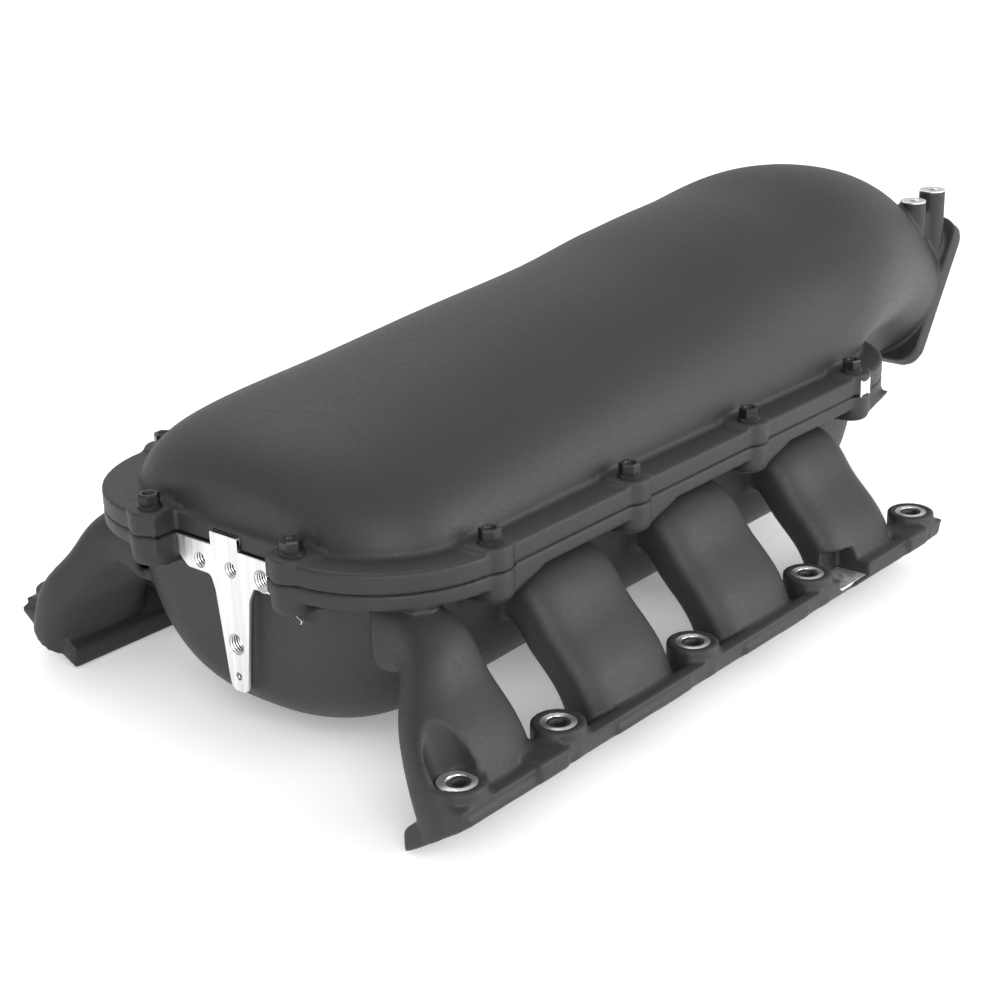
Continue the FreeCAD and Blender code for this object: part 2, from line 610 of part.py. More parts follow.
def pad_ports():
    holes = []
    for y, z, r in ((0, PAD_PORT_Z, PAD_PORT_R), (PAD_PORT_Y, PAD_PORT_Z, PAD_PORT_R),
                    (-PAD_PORT_Y, PAD_PORT_Z, PAD_BIG_R), (0, PAD_LOW_Z, PAD_BIG_R)):
        holes.append(Part.makeCylinder(r, PAD_PORT_D, Vec(PAD_X - 1, y, z), Vec(1, 0, 0)))
    holes.append(Part.makeCylinder(PAD_SMALL_R, PAD_SMALL_D, Vec(PAD_X - 1, 0, PAD_SMALL_Z), Vec(1, 0, 0)))
    return holes


# ---- seals, bolts and dowels ---------------------------------------------------------------------
def port_ring(sign, x, gap, depth, proud):
    """Racetrack ring round a port, let into the head face."""
    angle = math.radians(FACE_ANGLE)
    along = Vec(0, sign * math.cos(angle), math.sin(angle))
    out = Vec(0, sign * math.sin(angle), -math.cos(angle))
    centre = Vec(x, sign * PORT_Y, face_z(PORT_Y)) + out * proud
    rings = []
    for grow in (PORT_SEAL_OFF + PORT_SEAL_W + gap, PORT_SEAL_OFF - gap):
        half_x = (RUNNER_W - CORE_TRIM) / 2 - RUNNER_WALL + grow
        half_s = PORT_H / 2 + grow
        ways = ((-1, -1), (1, -1), (1, 1), (-1, 1))
        corners = [centre + Vec(CORE_TRIM / 2 + a * half_x, 0, 0) + along * (b * half_s) for a, b in ways]
        block = prism(corners, out * -(depth + proud))
        edges = [e for e in block.Edges if abs(e.tangentAt(e.FirstParameter).dot(out)) > 0.9]
        rings.append(block.makeFillet(PORT_CORNER_R + grow, edges))
    return rings[0].cut(rings[1])


def make_cover_bolt(place):
    hexagon = [Vec(math.cos(math.radians(60 * i)), math.sin(math.radians(60 * i)), 0) for i in range(6)]
    radius = BOLT_HEX_AF / 2 / math.cos(math.radians(30))
    head = prism([p * radius + Vec(0, 0, BOLT_FLANGE_T) for p in hexagon], Vec(0, 0, BOLT_HEX_H))
    flange = Part.makeCylinder(BOLT_FLANGE_R, BOLT_FLANGE_T)
    shank = Part.makeCylinder(BOLT_R, BOLT_LENGTH, Vec(0, 0, 0), Vec(0, 0, -1))
    bolt = fuse([head, flange, shank])
    bolt.translate(place)
    return bolt


def dowel_places():
    """Two opposite corners of the rim."""
    turn = math.sin(math.radians(45))
    inset = RIM_CORNER_R - (RIM_CORNER_R - DOWEL_IN) * turn
    return [Vec(RIM_REAR + inset, -RIM_Y + inset, JOINT_Z), Vec(RIM_FRONT - inset, RIM_Y - inset, JOINT_Z)]


def make_dowel(place):
    return Part.makeCylinder(DOWEL_R, DOWEL_L, Vec(place.x, place.y, JOINT_Z - DOWEL_L / 2))


def build():
    parts = {"plenum_cover": make_plenum_cover(), "lower_base": make_lower_base()}
    parts["plenum_seal"] = rounded_ring(SEAL_MARGIN, SEAL_W, JOINT_Z - SEAL_H, JOINT_Z)
    parts["throttle_seal"] = ring_solid(RING_W / 2 - 0.1, RING_D, RING_PROUD)
    number = 1
    for bank, (side, _) in BANKS.items():
        for x in runner_places(bank):
            parts[f"port_seal_{number}"] = port_ring(side, x, 0, PORT_SEAL_D, PORT_SEAL_H - PORT_SEAL_D)
            number += 1
    for name, place in cover_bolt_places().items():
        parts[f"cover_bolt_{name}"] = make_cover_bolt(place)
    for name, place in zip(("rear", "front"), dowel_places()):
        parts[f"dowel_{name}"] = make_dowel(place)
    return parts


def main():
    parts = build()
    whole = Part.makeCompound(list(parts.values()))
    limits = whole.optimalBoundingBox(False)
    shift = Vec(-(limits.XMin + limits.XMax) / 2, -(limits.YMin + limits.YMax) / 2, -limits.ZMin)
    print("origin shift", shift)
    os.makedirs("parts", exist_ok=True)
    for name, shape in parts.items():
        shape.translate(shift)
        print(name, "valid" if shape.isValid() else "INVALID", len(shape.Solids), round(shape.Volume))
        shape.exportStep(f"parts/{name}.step")


if __name__ == "__main__":
    main()
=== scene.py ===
"""Looks of a cast intake manifold: powder-coated castings, machined faces, flange bolts and its studio.

The solids come packed from CAD as a fixed frame. The two castings are made again with the rounded
edges of a mould, the machined faces and the bolts get pieces of their own, and everything lies where
the frame has it. Places and sizes in capitals are in millimetres, the places from the seat origin.
"""

import math

import bmesh
import bpy
import numpy as np
from bpy.props import FloatProperty, FloatVectorProperty, IntProperty, PointerProperty
from mathutils import Matrix, Vector


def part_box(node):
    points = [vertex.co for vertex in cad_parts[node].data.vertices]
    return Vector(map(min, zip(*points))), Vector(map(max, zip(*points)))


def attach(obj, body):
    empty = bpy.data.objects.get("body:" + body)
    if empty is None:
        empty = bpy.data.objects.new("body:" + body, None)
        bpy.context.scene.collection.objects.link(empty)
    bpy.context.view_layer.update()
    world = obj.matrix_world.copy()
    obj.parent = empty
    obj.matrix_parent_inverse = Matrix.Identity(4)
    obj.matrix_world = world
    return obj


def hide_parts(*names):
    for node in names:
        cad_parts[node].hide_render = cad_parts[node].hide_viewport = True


bl_info = {
    "name": "Intake Manifold Looks",
    "version": (1, 0, 0),
    "blender": (4, 5, 0),
    "location": "3D Viewport > Sidebar > Manifold",
    "description": "Castings, machined faces, bolts and studio of an intake manifold",
    "category": "Object",
}

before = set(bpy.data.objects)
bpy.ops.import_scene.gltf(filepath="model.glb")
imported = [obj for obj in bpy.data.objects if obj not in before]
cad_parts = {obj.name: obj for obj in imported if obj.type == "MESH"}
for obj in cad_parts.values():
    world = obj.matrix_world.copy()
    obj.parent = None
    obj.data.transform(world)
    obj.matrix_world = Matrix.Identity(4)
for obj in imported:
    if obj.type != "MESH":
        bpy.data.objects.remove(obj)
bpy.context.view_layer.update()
MM = 0.001


# ---- places --------------------------------------------------------------------------------------
def seat_origin():
    """The rearmost side bolt's station on the mid-plane, at the height of the bolt seats."""
    low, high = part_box("cover_bolt_right_1")
    head_mm = 7.2
    return Vector(((low.x + high.x) / 2, 0, high.z - head_mm * MM))


SEAT = seat_origin()


def at(x_mm, y_mm, z_mm):
    """A place given in millimetres from the seat origin."""
    return SEAT + Vector((x_mm, y_mm, z_mm)) * MM


def seat_mm(points):
    """Vertex places as millimetres from the seat origin."""
    return (points - np.array(SEAT)) / MM


# head bolts: stations on the right and left bank, distance from the mid-plane, height of the spot faces
HEAD_BOLT_X = (-78.5, -6.0, 105.76, 217.52, 333.98)
HEAD_BOLT_X_LEFT = (-48.1, 18.1, 129.86, 241.62, 358.08)
HEAD_BOLT_Y = 163.7
HEAD_SEAT_Z = -80.6
# bracket posts: station and height of each top
POST_Y = -40
POST_TOPS = ((547.28, 55), (574.28, 58))
# throttle flange: centre, tilt and the circle of its bolts
THROTTLE_FACE = (569.78, 0, -16.5)
THROTTLE_TILT = math.radians(33)
THROTTLE_PCD = 112
THROTTLE_HOLE_R = 2.6
THROTTLE_RECESS_R = 51.4
THROTTLE_PLATE_HALF = 54.6
THROTTLE_CORNER_R = 15
# bare patches
BOSS_FLAT = (335.28, -128.95, 0)
RELIEF_TOP = (0, 0, -92.75)
RELIEF_BOLT = (217.52, -163.7)
RELIEF_ROUND_R = 14.4
# sensor pad: station of its face, and each port's place across, height and radius
PAD_X = -62.0
PORTS = ((0, -24, 4.2), (22.9, -24, 4.2), (-22.9, -24, 5.6), (0, -65, 5.6), (0, -83, 2.1))
PORT_DEPTH = 9.0
THREAD_PITCH = 1.5
# joint: height where the base's rim is measured, and the line's inset, lower and upper edge, and depth
JOINT_CUT_Z = -13.4
JOINT_INSET = 0.75
JOINT_EDGES = (0.2, 0.5)
JOINT_DEPTH = 2
# corrections of the crest: station, spread and height of each wave, and where they fade in
CREST_WAVES = ((287, 34, 2.0), (382, 42, -6.0))
CREST_FADE_FROM = 15
CREST_FADE = 50
# triangles of each casting
COVER_LIMIT = 190000
BASE_LIMIT = 196000
EDGE_PULL = 0.07             # how far crisp edges of a casting are rounded, where 1 is the most
WELD = 2e-6                  # metres within which a CAD mesh's corners are one
BOLT_SEED = 7
HOLE_STEPS = 48
HEX_CORNER = 0.57735         # corner radius of a hexagon, as a part of its width across flats
FLOOR_REACH = 14.0           # metres


# ---- shader maths --------------------------------------------------------------------------------
class Value:
    """A number socket that takes part in expressions."""

    def __init__(self, paint, socket):
        self.paint = paint
        self.socket = socket

    def join(self, operation, first, second=0.0):
        node = self.paint.add("ShaderNodeMath", {"operation": operation}, {0: first, 1: second})
        return Value(self.paint, node.outputs[0])

    def __add__(self, other):
        return self.join("ADD", self, other)

    def __radd__(self, other):
        return self.join("ADD", other, self)

    def __mul__(self, other):
        return self.join("MULTIPLY", self, other)

    def __rmul__(self, other):
        return self.join("MULTIPLY", other, self)


class Paint:
    """A material being made: its node tree, with the shader at its end."""

    def __init__(self, name, **constants):
        self.material = bpy.data.materials.new(name)
        self.material.use_nodes = True
        self.tree = self.material.node_tree
        self.shader = next(n for n in self.tree.nodes if n.type == "BSDF_PRINCIPLED")
        for socket, value in constants.items():
            self.shader.inputs[socket.replace("_", " ")].default_value = value
        self.place = self.add("ShaderNodeTexCoord").outputs["Object"]

    def add(self, kind, settings=None, inputs=None):
        """A node of one type, with its settings first and then its values or links."""
        node = self.tree.nodes.new(kind)
        for key, value in (settings or {}).items():
            setattr(node, key, value)
        for key, value in (inputs or {}).items():
            self.give(node.inputs[key], value)
        return node

    def give(self, socket, value):
        if isinstance(value, Value):
            value = value.socket
        if isinstance(value, bpy.types.NodeSocket):
            self.tree.links.new(value, socket)
        else:
            socket.default_value = value

    def stretched(self, scale):
        """Object coordinates stretched along the axes."""
        return self.add("ShaderNodeMapping", {}, {"Vector": self.place, "Scale": scale}).outputs[0]

    def noise(self, scale, detail=2.0, rough=0.5, where=None):
        links = {"Vector": where or self.place, "Scale": scale, "Detail": detail, "Roughness": rough}
        return Value(self, self.add("ShaderNodeTexNoise", {}, links).outputs["Fac"])

    def span(self, value, low, high, to_low=0.0, to_high=1.0):
        links = {"Value": value, "From Min": low, "From Max": high, "To Min": to_low, "To Max": to_high}
        return Value(self, self.add("ShaderNodeMapRange", {}, links).outputs[0])

    def blend(self, factor, first, second):
        node = self.add("ShaderNodeMix", {"data_type": "RGBA"})
        self.give(node.inputs[0], factor)
        self.give(node.inputs[6], first)
        self.give(node.inputs[7], second)
        return node.outputs[2]

    def surface(self, colour, roughness, height=None, strength=0.3, distance=0.0002):
        self.give(self.shader.inputs["Base Color"], colour)
        self.give(self.shader.inputs["Roughness"], roughness)
        if height is not None:
            links = {"Height": height, "Strength": strength, "Distance": distance}
            bump = self.add("ShaderNodeBump", {}, links)
            self.give(self.shader.inputs["Normal"], bump.outputs[0])
        return self.material


def shade(colour, factor):
    return [min(1.0, c * factor) for c in colour[:3]] + [1.0]


def powder_coat(colour, roughness):
    """Satin powder coat over a sand-cast skin."""
    paint = Paint("powder_coat_black", Specular_IOR_Level=0.42)
    cloud = paint.noise(24.0, 3.0)
    skin = paint.noise(420.0, 4.0, 0.62)
    grain = paint.noise(1500.0, 2.0, 0.6)
    cool = paint.blend(paint.span(cloud, 0.3, 0.7), shade(colour, 0.9), shade(colour, 1.14))
    tone = paint.blend(paint.span(grain, 0.3, 0.7), cool, shade(colour, 1.3))
    height = skin * 0.7 + grain * 0.5
    gloss = paint.span(skin, 0.3, 0.7, roughness - 0.05, roughness + 0.07)
    return paint.surface(tone, gloss, height, 0.42, 0.00035)


def milled_aluminium(colour):
    """Bare aluminium with the upright passes of a face mill."""
    paint = Paint("aluminium_milled", Metallic=0.9, Specular_IOR_Level=0.5)
    band = paint.noise(1.0, 2.0, 0.5, paint.stretched((260.0, 260.0, 5.0)))
    line = paint.noise(1.0, 3.0, 0.7, paint.stretched((1700.0, 1700.0, 22.0)))
    tone = paint.blend(paint.span(band, 0.35, 0.65), shade(colour, 0.72), shade(colour, 1.0))
    tone = paint.blend(paint.span(line, 0.3, 0.75, 0.0, 0.5), tone, shade(colour, 1.2))
    rough = paint.span(band, 0.35, 0.65, 0.34, 0.46)
    return paint.surface(tone, rough, line + band * 0.6, 0.5, 0.0002)


def turned_aluminium(colour):
    """Bare aluminium cut by a spot-facing tool."""
    paint = Paint("aluminium_turned", Metallic=0.95)
    cloud = paint.noise(160.0, 2.0)
    fine = paint.noise(2600.0, 2.0)
    tone = paint.blend(paint.span(cloud, 0.3, 0.7), shade(colour, 0.82), shade(colour, 1.0))
    return paint.surface(tone, paint.span(fine, 0.3, 0.7, 0.24, 0.36), fine, 0.25, 0.0001)


def black_oxide(colour):
    """Oiled black oxide on steel bolts."""
    paint = Paint("bolt_black_oxide", Metallic=0.35)
    cloud = paint.noise(300.0, 3.0)
    fine = paint.noise(1900.0, 2.0)
    tone = paint.blend(paint.span(cloud, 0.3, 0.7), shade(colour, 0.75), shade(colour, 1.6))
    return paint.surface(tone, paint.span(cloud, 0.3, 0.7, 0.27, 0.42), fine, 0.25, 0.0001)


def seal_rubber(colour):
    """Moulded rubber with a faint bloom."""
    paint = Paint("rubber_seal")
    cloud = paint.noise(90.0, 3.0)
    fine = paint.noise(1700.0, 3.0)
    tone = paint.blend(paint.span(cloud, 0.35, 0.7), shade(colour, 0.85), shade(colour, 1.5))
    return paint.surface(tone, paint.span(fine, 0.3, 0.7, 0.6, 0.78), fine, 0.3, 0.00015)


def ground_steel(colour):
    """Ground dowel steel."""
    paint = Paint("steel_ground", Metallic=1.0)
    line = paint.noise(1.0, 3.0, 0.6, paint.stretched((60.0, 60.0, 2200.0)))
    tone = paint.blend(line, shade(colour, 0.8), shade(colour, 1.1))
    return paint.surface(tone, paint.span(line, 0.3, 0.7, 0.2, 0.34), line, 0.2, 0.0001)


def floor_paint(colour):
    """Seamless pale studio floor."""
    paint = Paint("studio_floor", Specular_IOR_Level=0.15, Emission_Strength=0.22)
    paint.shader.inputs["Emission Color"].default_value = (1, 1, 1, 1)
    cloud = paint.noise(1.2, 2.0)
    tone = paint.blend(cloud, shade(colour, 0.995), shade(colour, 1.0))
    return paint.surface(tone, 0.85)


MATERIALS = {}


def material(name):
    """The material of that name, made the first time it is asked for."""
    looks = bpy.context.scene.manifold_looks
    makers = {
        "coat": lambda: powder_coat(looks.coat_colour, looks.coat_roughness),
        "milled": lambda: milled_aluminium(looks.metal_colour),
        "turned": lambda: turned_aluminium(looks.metal_colour),
        "bolt": lambda: black_oxide(looks.bolt_colour),
        "rubber": lambda: seal_rubber(looks.rubber_colour),
        "steel": lambda: ground_steel(looks.metal_colour),
        "floor": lambda: floor_paint(looks.floor_colour),
    }
    if name not in MATERIALS:
        MATERIALS[name] = makers[name]()
    return MATERIALS[name]


# ---- meshes --------------------------------------------------------------------------------------
def put(name, mesh, finish, nodes=()):
    """A finished piece on the root body, with its material."""
    piece = bpy.data.objects.new(name, mesh)
    bpy.context.scene.collection.objects.link(piece)
    mesh.materials.clear()
    mesh.materials.append(material(finish))
    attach(piece, "root")
    if nodes:
        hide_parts(*nodes)
    return piece


def baked(piece):
    """The piece's mesh with its modifiers applied, and the piece itself removed."""
    graph = bpy.context.evaluated_depsgraph_get()
    mesh = bpy.data.meshes.new_from_object(piece.evaluated_get(graph))
    bpy.data.objects.remove(piece)
    return mesh


def loose(mesh):
    piece = bpy.data.objects.new("work", mesh)
    bpy.context.scene.collection.objects.link(piece)
    return piece


def relaxed(mesh, weight, rounds):
    """Moves each vertex towards its neighbours, by its own weight, the given number of times."""
    count = len(mesh.vertices)
    points = np.empty(count * 3)
    mesh.vertices.foreach_get("co", points)
    points = points.reshape(-1, 3)
    edges = np.empty(len(mesh.edges) * 2, dtype=np.int64)
    mesh.edges.foreach_get("vertices", edges)
    first, second = edges.reshape(-1, 2).T
    degree = np.bincount(first, minlength=count) + np.bincount(second, minlength=count)
    pull = 0.5 * weight(seat_mm(points))[:, None]
    for _ in range(rounds):
        total = np.empty_like(points)
        for axis in range(3):
            total[:, axis] = (np.bincount(first, points[second, axis], count)
                              + np.bincount(second, points[first, axis], count))
        points += pull * (total / degree[:, None] - points)
    mesh.vertices.foreach_set("co", points.ravel())
    mesh.update()


def cast_mesh(node, voxel, rounds, weight, limit):
    """A copy of a CAD solid with the rounded edges and corners of a casting."""
    work = bmesh.new()
    work.from_mesh(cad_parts[node].data)
    bmesh.ops.remove_doubles(work, verts=work.verts, dist=WELD)
    mesh = bpy.data.meshes.new("work")
    work.to_mesh(mesh)
    work.free()
    piece = loose(mesh)
    remesh = piece.modifiers.new("skin", "REMESH")
    remesh.mode = "VOXEL"
    remesh.voxel_size = voxel
    mesh = baked(piece)
    relaxed(mesh, weight, rounds)
    piece = loose(mesh)
    thin = piece.modifiers.new("thin", "DECIMATE")
    thin.ratio = min(1.0, limit / (2 * len(mesh.polygons)))
    mesh = baked(piece)
    mesh.polygons.foreach_set("use_smooth", [True] * len(mesh.polygons))
    return mesh


def flat_plate(outline, holes, thick_mm, bevel_mm):
    """A plate in the XY plane, its top at z = 0, with round holes and a small chamfer."""
    curve = bpy.data.curves.new("plate", "CURVE")
    curve.dimensions = "2D"
    curve.fill_mode = "BOTH"
    rings = [outline]
    for x, y, radius in holes:
        turns = [2 * math.pi * i / HOLE_STEPS for i in range(HOLE_STEPS)]
        rings.append([(x + radius * math.cos(t), y + radius * math.sin(t)) for t in turns])
    for ring in rings:
        spline = curve.splines.new("POLY")
        spline.points.add(len(ring) - 1)
        for point, (x, y) in zip(spline.points, ring):
            point.co = (x, y, 0, 1)
        spline.use_cyclic_u = True
    curve.extrude = thick_mm / 2 - bevel_mm
    curve.bevel_depth = bevel_mm
    curve.bevel_resolution = 1
    curve.offset = -bevel_mm
    mesh = baked(loose(curve))
    mesh.transform(Matrix.Translation((0, 0, -thick_mm / 2)))
    return mesh


def placed(mesh, x_way, y_way, z_way, centre_mm):
    """Turns a mesh made in millimetres onto three axes, at a place from the seat origin."""
    turn = Matrix((x_way, y_way, z_way)).transposed().to_4x4()
    mesh.transform(Matrix.Translation(at(*centre_mm)) @ turn @ Matrix.Scale(MM, 4))
    return mesh


def joined(meshes):
    """One mesh from several, with doubles merged and faces pointing outwards."""
    work = bmesh.new()
    for mesh in meshes:
        work.from_mesh(mesh)
    bmesh.ops.remove_doubles(work, verts=work.verts, dist=1e-7)
    bmesh.ops.recalc_face_normals(work, faces=work.faces)
    result = bpy.data.meshes.new("joined")
    work.to_mesh(result)
    work.free()
    return result


def lathed(profile, steps=64):
    """A closed profile of (radius, height) pairs turned round the Z axis."""
    corners = []
    faces = []
    count = len(profile)
    for i in range(steps):
        turn = 2 * math.pi * i / steps
        corners += [(r * math.cos(turn), r * math.sin(turn), z) for r, z in profile]
        following = (i + 1) % steps
        for j in range(count):
            k = (j + 1) % count
            faces.append((i * count + j, following * count + j, following * count + k, i * count + k))
    mesh = bpy.data.meshes.new("lathed")
    mesh.from_pydata(corners, [], faces)
    mesh.update()
    return mesh


def rounded(corners, radii, steps=6):
    """A polygon's corners rounded by their own radii. A radius of 0 keeps the corner."""
    result = []
    count = len(corners)
    for i, radius in enumerate(radii):
        here = Vector(corners[i])
        before = (Vector(corners[i - 1]) - here).normalized()
        after = (Vector(corners[(i + 1) % count]) - here).normalized()
        if not radius:
            result.append(tuple(here))
            continue
        reach = radius / math.tan(before.angle(after) / 2)
        first = here + before * reach
        last = here + after * reach
        for k in range(steps + 1):
            t = k / steps
            result.append(tuple((1 - t) ** 2 * first + 2 * t * (1 - t) * here + t * t * last))
    return result


def rise(value, low, high):
    """0 below low, 1 above high, with a smooth way between."""
    t = np.clip((value - low) / (high - low), 0, 1)
    return t * t * (3 - 2 * t)


# ---- settings ------------------------------------------------------------------------------------
class ManifoldLooks(bpy.types.PropertyGroup):
    """Colours and sizes of the looks"""

    coat_colour: FloatVectorProperty(
        name="Coat colour", description="Powder coat on the castings", subtype="COLOR",
        size=3, default=(0.017, 0.017, 0.019), min=0, max=1)
    coat_roughness: FloatProperty(
        name="Coat roughness", description="Satin of the powder coat", default=0.5, min=0.05, max=1)
    metal_colour: FloatVectorProperty(
        name="Metal colour", description="Bare aluminium", subtype="COLOR",
        size=3, default=(0.83, 0.83, 0.82), min=0, max=1)
    bolt_colour: FloatVectorProperty(
        name="Bolt colour", description="Black oxide on the bolts", subtype="COLOR",
        size=3, default=(0.012, 0.012, 0.013), min=0, max=1)
    rubber_colour: FloatVectorProperty(
        name="Rubber colour", description="Seals", subtype="COLOR",
        size=3, default=(0.014, 0.014, 0.014), min=0, max=1)
    floor_colour: FloatVectorProperty(
        name="Floor colour", description="Studio floor", subtype="COLOR",
        size=3, default=(1.0, 1.0, 1.0), min=0, max=1)
    cast_voxel: FloatProperty(
        name="Casting detail", description="Grain of the castings' skin", default=0.0012,
        min=0.0006, max=0.004, unit="LENGTH")
    cast_rounds: IntProperty(
        name="Casting rounds", description="How far the castings' edges are rounded", default=40,
        min=1, max=200)
    bolt_across: FloatProperty(
        name="Bolt across flats", description="Width of the hexagon", default=0.010, min=0.004,
        max=0.03, unit="LENGTH")


# ---- operators -----------------------------------------------------------------------------------
def settle_crest(mesh):
    """Straightens the crest's run up to its peak, fading out towards the rim."""
    for vertex in mesh.vertices:
        x, _, z = (vertex.co - SEAT) / MM
        share = max(0.0, min(1.0, (z - CREST_FADE_FROM) / CREST_FADE))
        change = sum(high * math.exp(-((x - place) / spread) ** 2) for place, spread, high in CREST_WAVES)
        vertex.co.z += share * share * change * MM


class MANIFOLD_OT_cover(bpy.types.Operator):
    """Makes the domed plenum cover's cast skin"""

    bl_idname = "manifold.cover"
    bl_label = "Plenum cover"

    def execute(self, context):
        looks = context.scene.manifold_looks

        def weight(p):
            dome = rise(p[:, 2], 2.0, 9.0) * (1 - rise(p[:, 0], 500.0, 530.0))
            return EDGE_PULL + (1 - EDGE_PULL) * dome

        mesh = cast_mesh("plenum_cover", looks.cast_voxel, looks.cast_rounds, weight, COVER_LIMIT)
        settle_crest(mesh)
        put("plenum_cover_cast", mesh, "coat", ["plenum_cover"])
        return {"FINISHED"}


class MANIFOLD_OT_base(bpy.types.Operator):
    """Makes the lower base's cast skin: tub, runners and head flanges"""

    bl_idname = "manifold.base"
    bl_label = "Lower base"

    def execute(self, context):
        looks = context.scene.manifold_looks

        def weight(p):
            low = 1 - rise(p[:, 2], -30.0, -22.0)
            flange = rise(np.abs(p[:, 1]), 134.0, 150.0)
            pad = (1 - rise(p[:, 0], -60.0, -54.0)) * (1 - rise(np.abs(p[:, 1]), 40.0, 48.0))
            return EDGE_PULL + 0.66 * low * (1 - flange) * (1 - pad)

        mesh = cast_mesh("lower_base", looks.cast_voxel, looks.cast_rounds, weight, BASE_LIMIT)
        put("lower_base_cast", mesh, "coat", ["lower_base"])
        return {"FINISHED"}


X_WAY = Vector((1, 0, 0))
Y_WAY = Vector((0, 1, 0))
Z_WAY = Vector((0, 0, 1))


def pad_outline():
    """Edge of the machined pad as (across, up), with the tab on top and the tail on the right."""
    corners = ((40, -13.2), (13.5, -13.2), (13.5, -6), (-6.5, -6), (-6.5, -13.2), (-40, -13.2),
               (-40.4, -30), (-44, -35), (-50, -38.5), (-49, -40.8), (-41, -37), (-31, -30), (-16.5, -30),
               (-12.4, -38), (-6.6, -86), (-5.4, -91.6), (5.4, -91.6), (6.6, -86), (12.4, -38), (15, -30),
               (32, -30), (40, -23))
    radii = (0, 0, 0.8, 0.8, 0, 0, 2, 4, 1.5, 0.8, 6, 3, 3, 8, 3, 4.5, 4.5, 3, 8, 4, 6, 4)
    return rounded(corners, radii)


class MANIFOLD_OT_pad(bpy.types.Operator):
    """Makes the machined sensor pad at the back, with its threaded ports"""

    bl_idname = "manifold.pad"
    bl_label = "Sensor pad"

    def execute(self, context):
        outline = [(-y, z) for y, z in pad_outline()]
        mesh = flat_plate(outline, [(-y, z, r) for y, z, r in PORTS], 2.2, 0.35)
        face = placed(mesh, -Y_WAY, Z_WAY, -X_WAY, (PAD_X - 0.2, 0, 0))
        outline = rounded(((-13.5, -13), (6.5, -13), (6.5, -6), (-13.5, -6)), (0.5,) * 4, 3)
        tab = flat_plate(outline, (), 4.2, 0.35)
        tab = placed(tab, -Y_WAY, Z_WAY, -X_WAY, (PAD_X - 0.25, 0, 0))
        put("sensor_pad_face", joined([face, tab]), "milled")
        sleeves = []
        for y, z, radius in PORTS:
            sleeve = lathed(thread_profile(radius))
            sleeves.append(placed(sleeve, Y_WAY, Z_WAY, X_WAY, (PAD_X - 0.2, y, z)))
        put("sensor_pad_threads", joined(sleeves), "turned")
        return {"FINISHED"}


def thread_profile(radius, pitch=THREAD_PITCH, depth=PORT_DEPTH):
    """Closed profile of a thin threaded sleeve that starts at height 0 and goes inwards."""
    profile = [(radius + 1.2, depth), (radius + 1.2, 0.6), (radius + 0.6, 0.3)]
    for i in range(int(depth / pitch)):
        start = 0.9 + i * pitch
        profile += [(radius + 0.1, start), (radius - 0.55, start + pitch / 2)]
    profile.append((radius, depth))
    return profile


class MANIFOLD_OT_spots(bpy.types.Operator):
    """Makes the spot faces of the head bolts and the post tops"""

    bl_idname = "manifold.spots"
    bl_label = "Spot faces"

    def execute(self, context):
        ring = [(10.4, -0.6), (10.4, 0.1), (10.1, 0.3)]
        for i in range(8):
            ring += [(9.8 - i * 0.42, 0.3), (9.6 - i * 0.42, 0.24)]
        ring += [(6.2, 0.28), (5.9, -0.2), (5.7, -1.0), (4.2, -1.3), (3.6, -2.2), (3.5, -9.0), (4.4, -9.0),
                 (5.2, -2.0)]
        places = [(x, -HEAD_BOLT_Y) for x in HEAD_BOLT_X] + [(x, HEAD_BOLT_Y) for x in HEAD_BOLT_X_LEFT]
        ways = (X_WAY, Y_WAY, Z_WAY)
        discs = [placed(lathed(ring), *ways, (x, y, HEAD_SEAT_Z)) for x, y in places]
        put("head_bolt_seats", joined(discs), "turned")
        cap = [(8.9, -0.8), (8.9, 0.0), (8.5, 0.25), (4.0, 0.25), (3.1, -0.5), (2.9, -9.0), (3.8, -9.0),
               (4.4, -0.8)]
        tops = [placed(lathed(cap), *ways, (x, POST_Y, z)) for x, z in POST_TOPS]
        put("post_tops", joined(tops), "turned")
        return {"FINISHED"}


